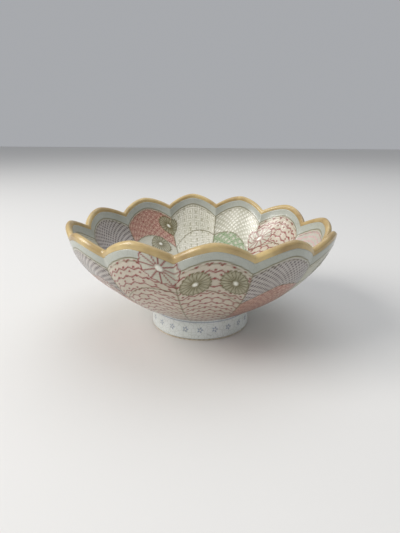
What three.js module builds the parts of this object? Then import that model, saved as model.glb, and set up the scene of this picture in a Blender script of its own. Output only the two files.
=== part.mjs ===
// A footed porcelain bowl with a rim of twelve petals, in millimetres, +Z up.
// The origin is on the table, at the middle of the foot.
// The clay is two pieces thrown apart and luted together: the body and the foot ring.
// Over them lie the glazes, each its own thin closed skin.
import * as THREE from "three";

// Rim
const petals = 12;
const notchRadius = 66.4;
const notchHeight = 55.3;
const petalReach = 3.66;
const petalRise = 6.67;
const petalReachPower = 2.32;
const petalRisePower = 1.62;
const petalBelly = 2.0;
const firstNotch = THREE.MathUtils.degToRad(-9.84);
const lipThickness = 2.5;
const lipRise = 0.9;

// Firing warp: the rim is a little oval and dips at the sides
const ovalShare = 0.029;
const saddleDip = 2.4;

// Wall
const wallThickness = 4.0;
const wallFootAngle = THREE.MathUtils.degToRad(28);
const wallLipAngle = THREE.MathUtils.degToRad(80);
const wallFootPull = 20;
const wallLipPull = 20;

// Foot
const footHeight = 11.9;
const footTopRadius = 27.6;
const footFlare = 0.7;
const footWall = 4.3;
const footBaseRadius = footTopRadius + footFlare;
const footInnerRadius = footBaseRadius - footWall;
const recessDepth = 7.5;
const floorHeight = 11.6;

// Glazes
const skin = 0.4;
const bareFoot = 1.0;
const rimBandOutside = 0.965;
const rimBandInside = 0.975;

// Facets
const stepsPerPetal = 4;
const wallRows = 6;
const columns = petals * stepsPerPetal;

// A point on a cubic curve, and the direction of its outward side
function curveAt(curve, t) {
  const s = 1 - t;
  const [a, b, c, d] = curve;
  const place = (k) => s ** 3 * a[k] + 3 * s * s * t * b[k] + 3 * s * t * t * c[k] + t ** 3 * d[k];
  const speed = (k) => s * s * (b[k] - a[k]) + 2 * s * t * (c[k] - b[k]) + t * t * (d[k] - c[k]);
  const length = Math.hypot(speed(0), speed(1));
  return { point: [place(0), place(1)], side: [speed(1) / length, -speed(0) / length] };
}

// Both faces of the wall in the upright plane of one column
function wallAt(column) {
  const angle = firstNotch + (2 * Math.PI * column) / columns;
  const across = Math.abs((2 * (column % stepsPerPetal)) / stepsPerPetal - 1);
  const reach = petalReach * (1 - across ** petalReachPower);
  const oval = 1 - ovalShare * Math.cos(2 * angle);
  const lipR = (notchRadius + reach) * oval;
  const lipZ = notchHeight + petalRise * (1 - across ** petalRisePower) + saddleDip * Math.cos(2 * angle);
  const belly = petalBelly * (1 - across ** petalReachPower);
  const pullR = wallLipPull * Math.cos(wallLipAngle);
  const pullZ = wallLipPull * Math.sin(wallLipAngle);
  const turnR = wallFootPull * Math.cos(wallFootAngle);
  const turnZ = wallFootPull * Math.sin(wallFootAngle);
  const offR = wallThickness * Math.sin(wallFootAngle);
  const offZ = wallThickness * Math.cos(wallFootAngle);
  const half = lipThickness / 2;
  const outside = [
    [footTopRadius, footHeight],
    [footTopRadius + turnR, footHeight + turnZ],
    [lipR + half - pullR + belly, lipZ - pullZ],
    [lipR + half, lipZ],
  ];
  const inside = [
    [footTopRadius - offR, footHeight + offZ],
    [footTopRadius - offR + turnR, footHeight + offZ + turnZ],
    [lipR - half - (wallThickness - lipThickness) / 2 - pullR + belly, lipZ - pullZ],
    [lipR - half, lipZ],
  ];
  return { angle, outside, inside, crest: [lipR, lipZ + lipRise] };
}

// Rows of places up one face of the wall, on the clay or out on the glaze
function rowsUp(curve, from, to, count, lift) {
  return Array.from({ length: count + 1 }, (_, row) => {
    const { point, side } = curveAt(curve, from + ((to - from) * row) / count);
    return [point[0] + side[0] * lift, point[1] + side[1] * lift];
  });
}

function footRadiusAt(height) {
  return footBaseRadius + ((footTopRadius - footBaseRadius) * height) / footHeight;
}

// The corner where the glaze of the wall meets the glaze of the foot
const mitre = [
  footTopRadius + skin,
  footHeight + (skin * (Math.sin(wallFootAngle) - 1)) / Math.cos(wallFootAngle),
];

// The floor inside the bowl rises from the middle to where the wall begins
function floorRows(wall, lift) {
  const [edgeR, edgeZ] = wall.inside[0];
  return [2 / 3, 1 / 3, 0].map((share) => [
    edgeR * share,
    floorHeight + (edgeZ - floorHeight) * share ** 2 + lift,
  ]);
}

// Inner face from the rim band down to the middle, on the clay or on the glaze
function insideFace(wall, lift) {
  const wallPart = rowsUp(wall.inside, 0, rimBandInside, wallRows, -lift).reverse();
  return [...wallPart, ...floorRows(wall, lift)];
}

function crestFace(wall, lift) {
  const up = rowsUp(wall.outside, rimBandOutside, 1, 1, lift);
  const down = rowsUp(wall.inside, rimBandInside, 1, 1, -lift).reverse();
  return [...up, [wall.crest[0], wall.crest[1] + lift], ...down];
}

// Turns one section per column into a closed mesh, faces out
function shell(section) {
  const walls = Array.from({ length: columns }, (_, column) => wallAt(column));
  const sections = walls.map((wall) => section(wall));
  const onAxis = sections[0].map(([r]) => Math.abs(r) < 1e-9);
  const places = [];
  const index = sections.map(() => []);
  sections[0].forEach((_, row) => {
    sections.forEach((points, column) => {
      if (onAxis[row] && column > 0) {
        index[column][row] = index[0][row];
        return;
      }
      const [r, z] = points[row];
      const { angle } = walls[column];
      index[column][row] = places.length / 3;
      places.push(onAxis[row] ? 0 : r * Math.sin(angle), onAxis[row] ? 0 : -r * Math.cos(angle), z);
    });
  });
  const triangles = [];
  const add = (a, b, c) => {
    if (a !== b && b !== c && c !== a) triangles.push(a, b, c);
  };
  const rows = sections[0].length;
  for (let column = 0; column < columns; column += 1) {
    const next = (column + 1) % columns;
    for (let row = 0; row < rows; row += 1) {
      const after = (row + 1) % rows;
      if (onAxis[row] && onAxis[after]) continue;
      const [a, b] = [index[column][row], index[next][row]];
      const [d, c] = [index[column][after], index[next][after]];
      const [from, to] = [sections[column][row], sections[column][after]];
      const rising = to[1] > from[1] || (to[1] === from[1] && to[0] > from[0]);
      if (rising) {
        add(a, b, c);
        add(a, c, d);
      } else {
        add(a, b, d);
        add(b, c, d);
      }
    }
  }
  const geometry = new THREE.BufferGeometry();
  geometry.setAttribute("position", new THREE.Float32BufferAttribute(places, 3));
  geometry.setIndex(triangles);
  geometry.computeVertexNormals();
  return geometry;
}

function clayBody() {
  return shell((wall) => [
    [0, recessDepth],
    [footInnerRadius, recessDepth],
    [footRadiusAt(recessDepth), recessDepth],
    ...rowsUp(wall.outside, 0, rimBandOutside, wallRows, 0),
    ...crestFace(wall, 0).slice(1, -1),
    ...insideFace(wall, 0),
  ]);
}

function footRing() {
  return shell(() => [
    [footInnerRadius, 0],
    [footBaseRadius, 0],
    [footRadiusAt(bareFoot), bareFoot],
    [footRadiusAt(recessDepth), recessDepth],
    [footInnerRadius, recessDepth],
    [footInnerRadius, bareFoot],
  ]);
}

function outsideGlaze() {
  return shell((wall) => [
    mitre,
    ...rowsUp(wall.outside, 0, rimBandOutside, wallRows, skin).slice(1),
    ...rowsUp(wall.outside, 0, rimBandOutside, wallRows, 0).reverse(),
  ]);
}

function insideGlaze() {
  return shell((wall) => [...insideFace(wall, skin), ...insideFace(wall, 0).reverse()]);
}

function rimBand() {
  return shell((wall) => [...crestFace(wall, skin), ...crestFace(wall, 0).reverse()]);
}

function footGlaze() {
  return shell(() => [
    [footRadiusAt(bareFoot), bareFoot],
    [footRadiusAt(bareFoot) + skin, bareFoot],
    mitre,
    [footTopRadius, footHeight],
    [footRadiusAt(recessDepth), recessDepth],
  ]);
}

function recessGlaze() {
  return shell(() => [
    [0, recessDepth - skin],
    [footInnerRadius - skin, recessDepth - skin],
    [footInnerRadius - skin, bareFoot],
    [footInnerRadius, bareFoot],
    [footInnerRadius, recessDepth],
    [0, recessDepth],
  ]);
}

function addPiece(group, name, geometry, color, roughness) {
  const material = new THREE.MeshStandardMaterial({ color, roughness, metalness: 0 });
  const mesh = new THREE.Mesh(geometry, material);
  mesh.name = name;
  group.add(mesh);
}

const bowl = new THREE.Group();
addPiece(bowl, "clay_body", clayBody(), 0xd8cdb6, 0.85);
addPiece(bowl, "foot_ring", footRing(), 0xd8cdb6, 0.85);
addPiece(bowl, "outside_glaze", outsideGlaze(), 0xc4c3b4, 0.3);
addPiece(bowl, "inside_glaze", insideGlaze(), 0xc9cabd, 0.3);
addPiece(bowl, "rim_band", rimBand(), 0xb08a4c, 0.35);
addPiece(bowl, "foot_glaze", footGlaze(), 0xdfe3e2, 0.3);
addPiece(bowl, "recess_glaze", recessGlaze(), 0xdfe3e2, 0.3);

export default bowl;
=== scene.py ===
import math
from functools import partial
from typing import NamedTuple

import bpy
import numpy as np
from mathutils import Matrix, Vector


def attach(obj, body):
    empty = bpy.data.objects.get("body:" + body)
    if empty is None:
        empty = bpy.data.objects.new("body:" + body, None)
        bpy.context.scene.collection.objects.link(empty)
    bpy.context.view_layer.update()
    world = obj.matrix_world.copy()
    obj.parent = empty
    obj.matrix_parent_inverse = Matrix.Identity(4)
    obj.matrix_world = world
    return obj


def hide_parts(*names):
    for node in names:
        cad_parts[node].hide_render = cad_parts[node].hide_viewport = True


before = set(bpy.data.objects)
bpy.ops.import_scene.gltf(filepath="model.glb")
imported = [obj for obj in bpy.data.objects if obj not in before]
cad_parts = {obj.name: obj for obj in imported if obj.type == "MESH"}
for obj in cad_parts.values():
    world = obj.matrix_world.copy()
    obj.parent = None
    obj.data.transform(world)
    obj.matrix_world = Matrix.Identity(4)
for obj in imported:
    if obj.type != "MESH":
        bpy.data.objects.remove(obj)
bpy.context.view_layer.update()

# All lengths are in millimetres, up to where a mesh is made
MM = 0.001

# The rim: twelve petals, a little oval, sagging at the sides
PETALS = 12
PETAL_ANGLE = 2 * math.pi / PETALS
FIRST_NOTCH = math.radians(-9.84)
NOTCH_RADIUS = 66.4
NOTCH_HEIGHT = 55.3
PETAL_REACH = 3.66
PETAL_RISE = 6.67
REACH_POWER = 2.32
RISE_POWER = 1.62
PETAL_BELLY = 2.0
LIP_THICKNESS = 2.5
LIP_RISE = 0.9
OVAL_SHARE = 0.029
SADDLE_DIP = 2.4

# The wall, between the foot and the lip
WALL_THICKNESS = 4.0
FOOT_ANGLE = math.radians(28)
LIP_ANGLE = math.radians(80)
CURVE_PULL = 20
FLOOR_HEIGHT = 11.6

# The foot
FOOT_HEIGHT = 11.9
FOOT_TOP_RADIUS = 27.6
FOOT_BASE_RADIUS = 28.3
FOOT_INNER_RADIUS = 24
RECESS_DEPTH = 7.5
BARE_FOOT = 1.0

# The glazes: their thickness, where the rim's glaze starts on the wall's curve, and the paint's height
SKIN = 0.4
RIM_START_OUTSIDE = 0.965
RIM_START_INSIDE = 0.975
RELIEF = 0.13
MITRE_HEIGHT = FOOT_HEIGHT + SKIN * (math.sin(FOOT_ANGLE) - 1) / math.cos(FOOT_ANGLE)

# Fineness of the meshes: a hidden back face needs fewer rows than a face that shows
COLUMNS = 720
WALL_ROWS = 112
BACK_STEP = 12
FLOOR_ROWS = 12
FLOOR_BACK_STEP = 6
FLOOR_END = 0.02
CLAY_ROWS = 40
CREST_ROWS = (8, 9, 6)
FOOT_ROWS = 30
FOOT_BACK_STEP = 5
MIDDLE_RADIUS = 0.5


# The wall's two faces at every angle, as cubic curves of (radius, height), and the top of the lip
def wall_curves(angle):
    turn = (angle - FIRST_NOTCH) / PETAL_ANGLE
    across = np.abs(2 * (turn % 1) - 1)
    bulge = 1 - across ** REACH_POWER
    lip_r = (NOTCH_RADIUS + PETAL_REACH * bulge) * (1 - OVAL_SHARE * np.cos(2 * angle))
    lip_z = NOTCH_HEIGHT + PETAL_RISE * (1 - across ** RISE_POWER) + SADDLE_DIP * np.cos(2 * angle)
    start_r = WALL_THICKNESS * math.sin(FOOT_ANGLE)
    start_z = WALL_THICKNESS * math.cos(FOOT_ANGLE)
    low_r, low_z = CURVE_PULL * math.cos(FOOT_ANGLE), CURVE_PULL * math.sin(FOOT_ANGLE)
    high_r, high_z = CURVE_PULL * math.cos(LIP_ANGLE), CURVE_PULL * math.sin(LIP_ANGLE)
    half_lip = LIP_THICKNESS / 2
    thicker = (WALL_THICKNESS - LIP_THICKNESS) / 2
    same = np.ones_like(angle)
    belly = PETAL_BELLY * bulge
    outside = [
        (FOOT_TOP_RADIUS * same, FOOT_HEIGHT * same),
        ((FOOT_TOP_RADIUS + low_r) * same, (FOOT_HEIGHT + low_z) * same),
        (lip_r + half_lip - high_r + belly, lip_z - high_z),
        (lip_r + half_lip, lip_z),
    ]
    inside = [
        ((FOOT_TOP_RADIUS - start_r) * same, (FOOT_HEIGHT + start_z) * same),
        ((FOOT_TOP_RADIUS - start_r + low_r) * same, (FOOT_HEIGHT + start_z + low_z) * same),
        (lip_r - half_lip - thicker - high_r + belly, lip_z - high_z),
        (lip_r - half_lip, lip_z),
    ]
    return outside, inside, (lip_r, lip_z + LIP_RISE)


# Points on a curve, and the direction that faces away from the axis there
def along(curve, t):
    s = 1 - t[:, None]
    t = t[:, None]
    (ar, az), (br, bz), (cr, cz), (dr, dz) = curve
    r = s**3 * ar + 3 * s * s * t * br + 3 * s * t * t * cr + t**3 * dr
    z = s**3 * az + 3 * s * s * t * bz + 3 * s * t * t * cz + t**3 * dz
    step_r = s * s * (br - ar) + 2 * s * t * (cr - br) + t * t * (dr - cr)
    step_z = s * s * (bz - az) + 2 * s * t * (cz - bz) + t * t * (dz - cz)
    size = np.hypot(step_r, step_z)
    return np.stack([r, z], -1), np.stack([step_z / size, -step_r / size], -1)


def foot_radius(height):
    return FOOT_BASE_RADIUS + (FOOT_TOP_RADIUS - FOOT_BASE_RADIUS) * height / FOOT_HEIGHT


# The floor inside, in rows from where the wall begins to the middle
def floor_rows(inside, lift, shares):
    edge_r, edge_z = inside[0]
    r = shares[:, None] * edge_r[None, :]
    z = FLOOR_HEIGHT + (edge_z[None, :] - FLOOR_HEIGHT) * shares[:, None] ** 2 + lift
    return np.stack([r, z], -1)


# Rows that are the same at every angle
def round_rows(angle, places):
    return np.stack([np.tile(np.array(place, float), (len(angle), 1)) for place in places])


# The lip, in rows from outside over the top to inside
def crest_rows(angle, lift):
    outside, inside, crest = wall_curves(angle)
    rows_up, rows_over, rows_down = CREST_ROWS
    up, up_side = along(outside, np.linspace(RIM_START_OUTSIDE, 1, rows_up))
    down, down_side = along(inside, np.linspace(1, RIM_START_INSIDE, rows_down))
    start = up[-1] + up_side[-1] * lift
    end = down[0] - down_side[0] * lift
    top = np.stack(crest, -1) + np.array([0, lift])
    pull = 2 * top - (start + end) / 2
    ease = np.linspace(0, 1, rows_over)[1:-1, None, None]
    over = (1 - ease) ** 2 * start + 2 * (1 - ease) * ease * pull + ease**2 * end
    return np.concatenate([up + up_side * lift, over, down - down_side * lift])


# A closed mesh from a section at every angle. A section that ends at the axis is closed with fans.
def sweep(name, angle, section, to_axis, colour=None):
    rows, cols = section.shape[:2]
    x = section[..., 0] * np.sin(angle) * MM
    y = -section[..., 0] * np.cos(angle) * MM
    points = np.stack([x, y, section[..., 1] * MM], -1).reshape(-1, 3)
    strips = rows - 1 if to_axis else rows
    row, col = np.meshgrid(np.arange(strips), np.arange(cols), indexing="ij")
    here, above = row * cols, (row + 1) % rows * cols
    beside = (col + 1) % cols
    quads = np.stack([here + col, here + beside, above + beside, above + col], -1)
    faces = quads.reshape(-1, 4).tolist()
    if to_axis:
        first, last = len(points), len(points) + 1
        ends = [[0, 0, section[0, 0, 1] * MM], [0, 0, section[-1, 0, 1] * MM]]
        points = np.vstack([points, ends])
        top = (rows - 1) * cols
        faces += [[first, (i + 1) % cols, i] for i in range(cols)]
        faces += [[last, top + i, top + (i + 1) % cols] for i in range(cols)]
    mesh = bpy.data.meshes.new(name)
    mesh.from_pydata(points.tolist(), [], faces)
    mesh.shade_smooth()
    if colour is not None:
        add_paint(mesh, colour.reshape(-1, 3))
    piece = bpy.data.objects.new(name, mesh)
    bpy.context.scene.collection.objects.link(piece)
    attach(piece, "root")
    return piece


# Stores the painted colours on the mesh's first points. The rest are bare glaze.
def add_paint(mesh, colours):
    full = np.ones((len(mesh.vertices), 4))
    full[:, :3] = GLAZE
    full[: len(colours), :3] = colours
    store = mesh.color_attributes.new("paint", "FLOAT_COLOR", "POINT")
    store.data.foreach_set("color", full.astype(np.float32).ravel())


# A colour as seen, from 0 to 255, turned to linear light
def seen(r, g, b):
    value = np.array([r, g, b]) / 255
    return np.where(value < 0.04045, value / 12.92, ((value + 0.055) / 1.055) ** 2.4)


GLAZE = seen(198, 196, 180)
BAND = seen(180, 183, 174)
OLIVE = seen(104, 94, 52)
PALE_OLIVE = seen(172, 168, 142)
RED = seen(132, 14, 16)
PALE_RED = seen(222, 140, 112)
BLACK_PURPLE = seen(52, 30, 40)
MAUVE = seen(186, 176, 176)
GREEN = seen(120, 150, 104)
WHITE = seen(244, 242, 232)
PINK = seen(214, 160, 168)
BLUE = seen(96, 116, 150)
FOOT_WHITE = seen(226, 230, 228)
PALE_OCHRE = seen(208, 184, 128)
DARK_OCHRE = seen(150, 122, 78)
PALE_CLAY = seen(222, 212, 192)
DARK_CLAY = seen(176, 160, 134)

# How far a painted edge fades
EDGE_FADE = 0.35
FAR = 1e9


# 1 where the distance is less than the width, 0 where it is more, and fading between
def within(distance, width):
    return np.clip((width - distance) / EDGE_FADE + 0.5, 0, 1)


# The patterns. Each gives how much of a point at (a, b) is painted, from 0 to 1.
def nearest_middles(a, b, pitch_a, pitch_b):
    for shift in (0, 1):
        middle_a = (np.round(a / pitch_a - shift / 2) + shift / 2) * pitch_a
        middle_b = (np.round(b / pitch_b - shift / 2) + shift / 2) * pitch_b
        yield np.hypot(a - middle_a, b - middle_b)


def lattice(a, b, size, width):
    first = np.full(a.shape, FAR)
    second = np.full(a.shape, FAR)
    for distance in nearest_middles(a, b, size, size * math.sqrt(3)):
        second = np.minimum(second, np.maximum(first, distance))
        first = np.minimum(first, distance)
    return within((second - first) / 2, width)


def spots(a, b, pitch, radius):
    nearest = np.full(a.shape, FAR)
    for distance in nearest_middles(a, b, pitch, pitch):
        nearest = np.minimum(nearest, distance)
    return within(nearest, radius)


def dotted_lattice(a, b, size, width, radius):
    return np.maximum(lattice(a, b, size, width), spots(a, b, size, radius))


# Overlapping half rings, each with a smaller one inside, in three rows that reach any point
def scales(a, b, size, width):
    line = np.zeros(a.shape)
    covered = np.zeros(a.shape, bool)
    row = np.floor(b / (size / 2))
    for step in range(3):
        level = row - step
        shift = (level % 2) * size / 2
        middle = np.round((a - shift) / size) * size + shift
        distance = np.hypot(a - middle, b - level * size / 2)
        outer = within(np.abs(distance - size / 2 + width), width)
        inner = within(np.abs(distance - size / 4), width)
        inside = (distance <= size / 2 + width) & ~covered
        line = np.where(inside, np.maximum(outer, inner), line)
        covered |= inside
    return line


def leaves(a, b, size, width):
    return scales(b, a, size, width)


# Squares in squares, each open on one side
FRET_SQUARES = (0.5, 0.28, 0.08)
FRET_GAP = 0.08


def fret(a, b, size, width):
    u, v = (a / size) % 1, (b / size) % 1
    gap = (np.abs(u - 0.5) < FRET_GAP) & (v > 0.5)
    line = np.zeros(a.shape)
    for half in FRET_SQUARES:
        edge = np.abs(np.maximum(np.abs(u - 0.5), np.abs(v - 0.5)) - half) * size
        line = np.maximum(line, np.where(gap, 0, within(edge, width)))
    return line


def bare(a, b):
    return 0 * a


class Style(NamedTuple):
    line: np.ndarray
    ground: np.ndarray
    ground_share: float
    pattern: object


STYLES = {
    "hexagons": Style(RED, PALE_RED, 0.12, partial(dotted_lattice, size=5.2, width=0.32, radius=0.6)),
    "spots": Style(BLACK_PURPLE, MAUVE, 0.7, partial(spots, pitch=2.5, radius=0.5)),
    "scales": Style(RED, PALE_RED, 0.45, partial(scales, size=4.0, width=0.16)),
    "fret": Style(WHITE, PALE_OLIVE, 0.6, partial(fret, size=4.2, width=0.22)),
    "beads": Style(WHITE, GLAZE, 0.2, partial(spots, pitch=3.2, radius=0.6)),
    "lattice": Style(PINK, MAUVE, 0.35, partial(lattice, size=3.6, width=0.25)),
    "leaves": Style(GREEN, GLAZE, 0.2, partial(leaves, size=5.0, width=0.3)),
    "bare": Style(OLIVE, GLAZE, 0.0, bare),
}

# Each petal's pattern above and below its dividing line, from the front petal round to the right
UPPER_OUTSIDE = [
    "hexagons", "spots", "bare", "fret", "spots", "scales",
    "beads", "hexagons", "lattice", "fret", "spots", "hexagons",
]
LOWER_OUTSIDE = [
    "hexagons", "scales", "fret", "hexagons", "leaves", "spots",
    "hexagons", "scales", "fret", "hexagons", "scales", "hexagons",
]
UPPER_INSIDE = [
    "beads", "lattice", "bare", "lattice", "hexagons", "beads",
    "fret", "scales", "spots", "bare", "fret", "spots",
]
LOWER_INSIDE = [
    "fret", "spots", "scales", "spots", "hexagons", "leaves",
    "fret", "bare", "spots", "scales", "bare", "hexagons",
]

# Where the dividing lines are, down from the lip at a petal's middle, and how steeply they lean
DIVIDE_OUTSIDE = 24
DIVIDE_INSIDE = 26
DIVIDE_LEAN = 0.35

# The plain band under the lip, and the lines that follow it
BAND_DEPTH = 7.5
BAND_SAG = 1.6
PANEL_GAP = 0.8
SECOND_LINE_DOWN = 1.6
ARC_LINE = 0.3
SECOND_LINE = 0.18
SECOND_LINE_SHARE = 0.8
PANEL_LINE = 0.25

# How high each kind of paint stands, in steps of RELIEF
LINE_HEIGHT = 1.0
FILL_HEIGHT = 0.5
EYE_HEIGHT = 2.5

# A flower's parts, as shares of its radius, and its lines
FLOWER_LOBE = 0.1
FLOWER_FILL_SHARE = 0.9
FLOWER_RING = 0.24
FLOWER_EYE = 0.15
OUTLINE = 0.3
SPOKE_LINE = 0.26
RING_LINE = 0.2


# A flower's place is its angle, and its distance down from the lip
class Flower(NamedTuple):
    degrees: float
    down: float
    radius: float
    fill: np.ndarray
    line: np.ndarray
    petals: int


FEW_PETALS = 12
MANY_PETALS = 18


def red_flower(degrees, down, radius, petals=FEW_PETALS):
    return Flower(degrees, down, radius, GLAZE, RED, petals)


def olive_flower(degrees, down, radius):
    return Flower(degrees, down, radius, PALE_OLIVE, OLIVE, MANY_PETALS)


FLOWERS_OUTSIDE = [
    red_flower(-15, 7, 8.6),
    olive_flower(-2.1, 17, 7),
    olive_flower(13.5, 16, 7),
    red_flower(-48, 26, 6.5, MANY_PETALS),
    olive_flower(62, 16, 6.5),
    red_flower(98, 26, 6.5, MANY_PETALS),
    olive_flower(140, 12, 6.5),
    red_flower(178, 22, 6.5, MANY_PETALS),
    olive_flower(222, 14, 6.5),
    red_flower(258, 27, 6.5, MANY_PETALS),
]
FLOWERS_INSIDE = [
    olive_flower(-157.6, 15, 6.4),
    olive_flower(-147.9, 33, 6.4),
    red_flower(136.3, 21, 8),
    red_flower(-60, 22, 6.2),
    red_flower(20, 26, 6.2),
    red_flower(80, 20, 6.2),
]


# A canvas is one face of the bowl, with the colour and the paint's height at each of its points
class Canvas:
    def __init__(self, angle, points, down):
        self.angle = angle[None, :] + 0 * down
        self.radius = points[..., 0]
        self.down = down
        turn = (self.angle - FIRST_NOTCH) / PETAL_ANGLE
        self.petal = np.floor(turn).astype(int) % PETALS
        self.across = 2 * (turn % 1) - 1
        self.sideways = self.across * self.radius * math.pi / PETALS
        self.colour = np.tile(GLAZE, self.down.shape + (1,))
        self.height = np.zeros(self.down.shape)

    def lay(self, share, colour, height=0.0):
        self.colour += share[..., None] * (colour - self.colour)
        self.height = np.maximum(self.height, share * height)

    def flower(self, flower):
        bend = (self.angle - math.radians(flower.degrees) + math.pi) % (2 * math.pi) - math.pi
        x, y = bend * self.radius, self.down - flower.down
        distance = np.hypot(x, y)
        half_turns = np.arctan2(y, x) * flower.petals / 2
        edge = flower.radius * (1 - FLOWER_LOBE + FLOWER_LOBE * np.abs(np.cos(half_turns)))
        self.lay(within(distance - edge, 0) * FLOWER_FILL_SHARE, flower.fill, FILL_HEIGHT)
        ring = flower.radius * FLOWER_RING
        outline = within(np.abs(distance - edge), OUTLINE)
        spokes = within(np.abs(np.sin(half_turns)) * distance * 2 / flower.petals, SPOKE_LINE)
        spokes = spokes * (distance < edge) * (distance > ring)
        middle = within(np.abs(distance - ring), RING_LINE)
        self.lay(np.maximum(np.maximum(outline, spokes), middle), flower.line, LINE_HEIGHT)
        self.lay(within(distance, flower.radius * FLOWER_EYE), WHITE, EYE_HEIGHT)


def fill_panel(canvas, region, style):
    canvas.lay(region * style.ground_share, style.ground)
    canvas.lay(region * style.pattern(canvas.sideways, canvas.down), style.line, LINE_HEIGHT)


# The band under the lip, each petal's two panels, and the lines between them
def paint_petals(canvas, upper, lower, divide_down):
    edge = BAND_DEPTH - BAND_SAG * (1 - np.abs(canvas.across) ** 2)
    canvas.lay(within(canvas.down - edge, 0), BAND)
    lean = np.where(canvas.petal % 2 == 0, DIVIDE_LEAN, -DIVIDE_LEAN)
    divide = divide_down + lean * canvas.sideways
    above = within(canvas.down - divide, 0)
    for petal in range(PETALS):
        mine = (canvas.petal == petal) * within(edge + PANEL_GAP - canvas.down, 0)
        fill_panel(canvas, mine * above, STYLES[upper[petal]])
        fill_panel(canvas, mine * (1 - above), STYLES[lower[petal]])
    from_notch = np.abs(np.abs(canvas.across) - 1) * canvas.radius * math.pi / PETALS
    below = within(edge - canvas.down, 0)
    second = within(np.abs(canvas.down - edge - SECOND_LINE_DOWN), SECOND_LINE)
    canvas.lay(within(np.abs(canvas.down - edge), ARC_LINE), OLIVE, LINE_HEIGHT)
    canvas.lay(second * SECOND_LINE_SHARE, OLIVE, LINE_HEIGHT)
    canvas.lay(within(np.abs(canvas.down - divide), PANEL_LINE) * below, OLIVE, LINE_HEIGHT)
    canvas.lay(within(from_notch, PANEL_LINE) * below, OLIVE, LINE_HEIGHT)


# A canvas on the wall's curve, up to where the rim's glaze starts
def wall_canvas(angle, curve, limit):
    share = np.linspace(0, limit, WALL_ROWS)
    points, side = along(curve, share)
    whole_share = np.linspace(0, 1, WALL_ROWS)
    whole, _ = along(curve, whole_share)
    steps = np.hypot(*np.moveaxis(np.diff(whole, axis=0), -1, 0))
    run = np.vstack([np.zeros((1, len(angle))), np.cumsum(steps, axis=0)])
    here = np.stack([np.interp(share, whole_share, run[:, i]) for i in range(len(angle))], 1)
    return Canvas(angle, points, run[-1] - here), points, side


def painted_outside(angle):
    outside, _, _ = wall_curves(angle)
    canvas, points, side = wall_canvas(angle, outside, RIM_START_OUTSIDE)
    paint_petals(canvas, UPPER_OUTSIDE, LOWER_OUTSIDE, DIVIDE_OUTSIDE)
    for flower in FLOWERS_OUTSIDE:
        canvas.flower(flower)
    face = points + side * (SKIN + RELIEF * canvas.height[..., None])
    face[0] = [FOOT_TOP_RADIUS + SKIN, MITRE_HEIGHT]
    section = np.concatenate([face, points[::-BACK_STEP]])
    piece = sweep("painted_outside", angle, section, False, canvas.colour)
    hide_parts("outside_glaze")
    return piece


def painted_inside(angle):
    _, inside, _ = wall_curves(angle)
    canvas, points, side = wall_canvas(angle, inside, RIM_START_INSIDE)
    paint_petals(canvas, UPPER_INSIDE, LOWER_INSIDE, DIVIDE_INSIDE)
    for flower in FLOWERS_INSIDE:
        canvas.flower(flower)
    face = points - side * (SKIN + RELIEF * canvas.height[..., None])
    shares = np.linspace(1, FLOOR_END, FLOOR_ROWS)[1:]
    floor = floor_rows(inside, SKIN, shares)
    back = np.concatenate([points[::-BACK_STEP], floor_rows(inside, 0, shares[::FLOOR_BACK_STEP])])
    section = np.concatenate([back[::-1], face[::-1], floor])
    hidden = np.tile(GLAZE, (len(back), len(angle), 1))
    colour = np.concatenate([hidden, canvas.colour[::-1]])
    piece = sweep("painted_inside", angle, section, True, colour)
    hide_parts("inside_glaze")
    return piece


def rim_glaze(angle):
    section = np.concatenate([crest_rows(angle, SKIN), crest_rows(angle, 0)[::-1]])
    piece = sweep("rim_glaze", angle, section, False)
    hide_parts("rim_band")
    return piece


# The clay under the glazes, from the recess in the foot up over the lip and down to the floor
def clay_wall(angle):
    outside, inside, _ = wall_curves(angle)
    radii = (MIDDLE_RADIUS, FOOT_INNER_RADIUS, foot_radius(RECESS_DEPTH))
    base = round_rows(angle, [(radius, RECESS_DEPTH) for radius in radii])
    up, _ = along(outside, np.linspace(0, RIM_START_OUTSIDE, CLAY_ROWS))
    down, _ = along(inside, np.linspace(RIM_START_INSIDE, 0, CLAY_ROWS))
    floor = floor_rows(inside, 0, np.linspace(1, FLOOR_END, FLOOR_ROWS)[1:])
    section = np.concatenate([base, up, crest_rows(angle, 0)[1:-1], down, floor])
    piece = sweep("clay_wall", angle, section, True)
    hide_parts("clay_body")
    return piece


# The foot's ring of small flowers, under one thin line
FLORETS = 22
FLORET_DOWN = 5.6
FLORET_RADIUS = 1.7
FLORET_PETALS = 5
FLORET_LOBE = 0.3
FLORET_SHARE = 0.7
FLORET_EYE = 0.45
FLORET_HEIGHT = 0.4
FLORET_EYE_HEIGHT = 0.8
FOOT_LINE_DOWN = 1.2
FOOT_LINE = 0.2
FOOT_LINE_SHARE = 0.8


def paint_foot(canvas):
    canvas.colour[:] = FOOT_WHITE
    pitch = 2 * math.pi * FOOT_TOP_RADIUS / FLORETS
    x = (canvas.angle * FOOT_TOP_RADIUS + pitch / 2) % pitch - pitch / 2
    y = canvas.down - FLORET_DOWN
    distance = np.hypot(x, y)
    lobes = np.cos(FLORET_PETALS * np.arctan2(y, x))
    edge = FLORET_RADIUS * (1 - FLORET_LOBE + FLORET_LOBE * lobes)
    line = within(np.abs(canvas.down - FOOT_LINE_DOWN), FOOT_LINE)
    canvas.lay(within(distance - edge, 0) * FLORET_SHARE, BLUE, FLORET_HEIGHT)
    canvas.lay(within(distance, FLORET_EYE), WHITE, FLORET_EYE_HEIGHT)
    canvas.lay(line * FOOT_LINE_SHARE, BLUE, FLORET_HEIGHT)


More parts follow.
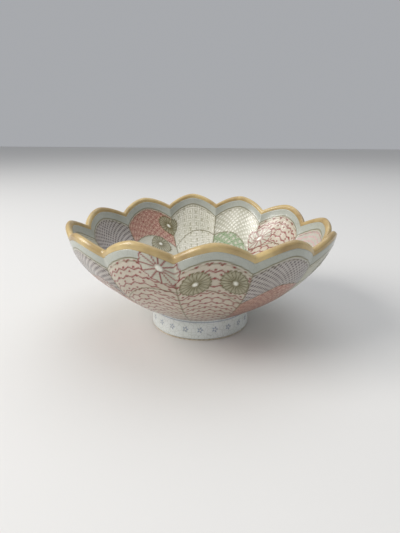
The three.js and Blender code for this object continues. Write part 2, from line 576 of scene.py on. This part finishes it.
def foot_painted_glaze(angle):
    heights = np.linspace(BARE_FOOT, FOOT_HEIGHT, FOOT_ROWS)
    face = round_rows(angle, [(foot_radius(h) + SKIN, min(h, MITRE_HEIGHT)) for h in heights])
    back = round_rows(angle, [(foot_radius(h), h) for h in heights[::-FOOT_BACK_STEP]])
    canvas = Canvas(angle, face, (FOOT_HEIGHT - heights)[:, None] + 0 * angle[None, :])
    paint_foot(canvas)
    face[..., 0] += RELIEF * canvas.height
    piece = sweep("foot_painted_glaze", angle, np.concatenate([face, back]), False, canvas.colour)
    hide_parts("foot_glaze")
    return piece


# Materials
def new_material(name):
    material = bpy.data.materials.new(name)
    material.use_nodes = True
    nodes = material.node_tree.nodes
    return material, nodes, material.node_tree.links, nodes["Principled BSDF"]


def add_node(nodes, kind, values):
    made = nodes.new(kind)
    for name, value in values.items():
        made.inputs[name].default_value = value
    return made


# Noise fixed to the object, as a value from 0 to 1
def object_noise(nodes, links, scale, detail):
    place = nodes.new("ShaderNodeTexCoord")
    noise = add_node(nodes, "ShaderNodeTexNoise", {"Scale": scale, "Detail": detail})
    links.new(place.outputs["Object"], noise.inputs["Vector"])
    return noise.outputs["Fac"]


# A ramp between (position, colour) stops. A stop with no colour keeps black or white.
def add_ramp(nodes, links, value, low, high):
    ramp = nodes.new("ShaderNodeValToRGB")
    for element, (position, colour) in zip(ramp.color_ramp.elements, (low, high)):
        element.position = position
        if colour is not None:
            element.color = (*colour, 1)
    links.new(value, ramp.inputs["Fac"])
    return ramp.outputs["Color"]


def multiply(nodes, links, colour, by, share):
    mix = nodes.new("ShaderNodeMix")
    mix.data_type = "RGBA"
    mix.blend_type = "MULTIPLY"
    mix.inputs["Factor"].default_value = share
    links.new(colour, mix.inputs["A"])
    links.new(by, mix.inputs["B"])
    return mix.outputs["Result"]


# Clouds of a slightly darker tone over a colour
CLOUD_DETAIL = 5.0
CLOUD_STOPS = (0.35, 0.65)
CLOUD_SHARE = 0.8


def clouded(nodes, links, colour, dark, scale):
    noise = object_noise(nodes, links, scale, CLOUD_DETAIL)
    low, high = CLOUD_STOPS
    clouds = add_ramp(nodes, links, noise, (low, dark), (high, None))
    return multiply(nodes, links, colour, clouds, CLOUD_SHARE)


# Uneven gloss, and a fine unevenness of the surface
SURFACE_DETAIL = 4.0
SMOOTHER = 0.06
ROUGHER = 0.08
BUMP_DISTANCE = 0.4 * MM


def uneven(nodes, links, shader, roughness, bump, scale):
    noise = object_noise(nodes, links, scale, SURFACE_DETAIL)
    limits = {"To Min": roughness - SMOOTHER, "To Max": roughness + ROUGHER}
    spread = add_node(nodes, "ShaderNodeMapRange", limits)
    links.new(noise, spread.inputs["Value"])
    links.new(spread.outputs["Result"], shader.inputs["Roughness"])
    lift = add_node(nodes, "ShaderNodeBump", {"Strength": bump, "Distance": BUMP_DISTANCE})
    links.new(noise, lift.inputs["Height"])
    links.new(lift.outputs["Normal"], shader.inputs["Normal"])


# Fine cracks in the glaze
CRACK_SCALE = 420
CRACK_COLOUR = (0.55, 0.55, 0.5)
CRACK_WIDTH = 0.05


def crackled(nodes, links, colour, share):
    place = nodes.new("ShaderNodeTexCoord")
    cells = add_node(nodes, "ShaderNodeTexVoronoi", {"Scale": CRACK_SCALE})
    cells.feature = "DISTANCE_TO_EDGE"
    links.new(place.outputs["Object"], cells.inputs["Vector"])
    cracks = add_ramp(nodes, links, cells.outputs["Distance"], (0, CRACK_COLOUR), (CRACK_WIDTH, None))
    return multiply(nodes, links, colour, cracks, share)


GLAZE_CLOUD = (0.86, 0.87, 0.83)
GLAZE_CLOUD_SCALE = 90
GLAZE_ROUGHNESS = 0.3
GLAZE_BUMP = 0.25
GLAZE_BUMP_SCALE = 260
GLAZE_COAT = 0.35
GLAZE_COAT_ROUGHNESS = 0.12


def painted_material(name, crack_share):
    material, nodes, links, shader = new_material(name)
    paint = nodes.new("ShaderNodeAttribute")
    paint.attribute_name = "paint"
    colour = clouded(nodes, links, paint.outputs["Color"], GLAZE_CLOUD, GLAZE_CLOUD_SCALE)
    links.new(crackled(nodes, links, colour, crack_share), shader.inputs["Base Color"])
    uneven(nodes, links, shader, GLAZE_ROUGHNESS, GLAZE_BUMP, GLAZE_BUMP_SCALE)
    shader.inputs["Coat Weight"].default_value = GLAZE_COAT
    shader.inputs["Coat Roughness"].default_value = GLAZE_COAT_ROUGHNESS
    return material


MOTTLE_STOPS = (0.3, 0.7)


# A colour that wanders between two tones
def mottled(nodes, links, shader, dark, pale, scale, detail):
    noise = object_noise(nodes, links, scale, detail)
    low, high = MOTTLE_STOPS
    links.new(add_ramp(nodes, links, noise, (low, dark), (high, pale)), shader.inputs["Base Color"])


def rim_material():
    material, nodes, links, shader = new_material("ochre_rim")
    mottled(nodes, links, shader, DARK_OCHRE, PALE_OCHRE, scale=70, detail=6)
    uneven(nodes, links, shader, roughness=0.35, bump=0.3, scale=300)
    shader.inputs["Coat Weight"].default_value = 0.3
    return material


def clay_material():
    material, nodes, links, shader = new_material("bare_clay")
    mottled(nodes, links, shader, DARK_CLAY, PALE_CLAY, scale=500, detail=8)
    uneven(nodes, links, shader, roughness=0.8, bump=0.6, scale=900)
    return material


def white_glaze_material():
    material, nodes, links, shader = new_material("white_crackle")
    white = nodes.new("ShaderNodeRGB")
    white.outputs[0].default_value = (*FOOT_WHITE, 1)
    colour = clouded(nodes, links, white.outputs[0], dark=(0.8, 0.82, 0.84), scale=120)
    links.new(colour, shader.inputs["Base Color"])
    uneven(nodes, links, shader, roughness=0.28, bump=0.3, scale=300)
    return material


def dress(piece, material):
    piece.data.materials.clear()
    piece.data.materials.append(material)


# The floor and the light round it, in metres
FLOOR_SIZE = 6.0
FLOOR_COLOUR = (0.72, 0.71, 0.69, 1)
FLOOR_ROUGHNESS = 0.7
AIR_COLOUR = (0.78, 0.8, 0.84, 1)
AIR_STRENGTH = 0.5
AIM = Vector((0, 0, 0.03))


def floor():
    mesh = bpy.data.meshes.new("floor")
    half = FLOOR_SIZE / 2
    corners = [(-half, -half, 0), (half, -half, 0), (half, half, 0), (-half, half, 0)]
    mesh.from_pydata(corners, [], [(0, 1, 2, 3)])
    piece = bpy.data.objects.new("floor", mesh)
    bpy.context.scene.collection.objects.link(piece)
    material, _, _, shader = new_material("pale_floor")
    shader.inputs["Base Color"].default_value = FLOOR_COLOUR
    shader.inputs["Roughness"].default_value = FLOOR_ROUGHNESS
    mesh.materials.append(material)


def air():
    world = bpy.data.worlds.new("studio")
    world.use_nodes = True
    background = world.node_tree.nodes["Background"]
    background.inputs["Color"].default_value = AIR_COLOUR
    background.inputs["Strength"].default_value = AIR_STRENGTH
    bpy.context.scene.world = world


def lamp(name, place, size, power, colour):
    data = bpy.data.lights.new(name, "AREA")
    data.shape = "SQUARE"
    data.size = size
    data.energy = power
    data.color = colour
    light = bpy.data.objects.new(name, data)
    light.location = place
    light.rotation_euler = (AIM - Vector(place)).to_track_quat("-Z", "Y").to_euler()
    bpy.context.scene.collection.objects.link(light)


# The camera, as the photograph's: its place in millimetres, turned down and a little to one side
CAMERA_PLACE = (-0.33, -221.5, 106.7)
CAMERA_PITCH = math.radians(18.4)
CAMERA_ROLL = math.radians(0.435)
IMAGE_HEIGHT = 533
FOCAL_PIXELS = 400
SENSOR = 36
NEAR_CLIP = 0.01


def camera():
    data = bpy.data.cameras.new("camera")
    data.sensor_width = SENSOR
    data.lens = SENSOR * FOCAL_PIXELS / IMAGE_HEIGHT
    data.clip_start = NEAR_CLIP
    eye = bpy.data.objects.new("camera", data)
    c, s = math.cos(CAMERA_ROLL), math.sin(CAMERA_ROLL)
    level = Vector((1, 0, 0))
    up = Vector((0, math.sin(CAMERA_PITCH), math.cos(CAMERA_PITCH)))
    ahead = Vector((0, math.cos(CAMERA_PITCH), -math.sin(CAMERA_PITCH)))
    turn = Matrix((c * level + s * up, c * up - s * level, -ahead)).transposed()
    eye.matrix_world = Matrix.Translation(Vector(CAMERA_PLACE) * MM) @ turn.to_4x4()
    bpy.context.scene.collection.objects.link(eye)
    bpy.context.scene.camera = eye


camera()
floor()
air()
lamp("window", place=(-0.9, -0.25, 0.75), size=0.7, power=12, colour=(1.0, 0.98, 0.95))
lamp("ceiling", place=(0.2, 0.3, 1.2), size=1.2, power=6, colour=(0.95, 0.97, 1.0))

# Painted pieces have all the columns, and plain ones half of them
fine = np.arange(COLUMNS) * 2 * math.pi / COLUMNS
coarse = fine[::2]
glaze_look = painted_material("painted_glaze", crack_share=0.25)
foot_look = painted_material("painted_crackle", crack_share=0.6)
clay_look = clay_material()
dress(painted_outside(fine), glaze_look)
dress(painted_inside(fine), glaze_look)
dress(foot_painted_glaze(fine), foot_look)
dress(rim_glaze(coarse), rim_material())
dress(clay_wall(coarse), clay_look)
dress(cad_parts["foot_ring"], clay_look)
dress(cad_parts["recess_glaze"], white_glaze_material())

bpy.context.scene.view_settings.view_transform = "Standard"
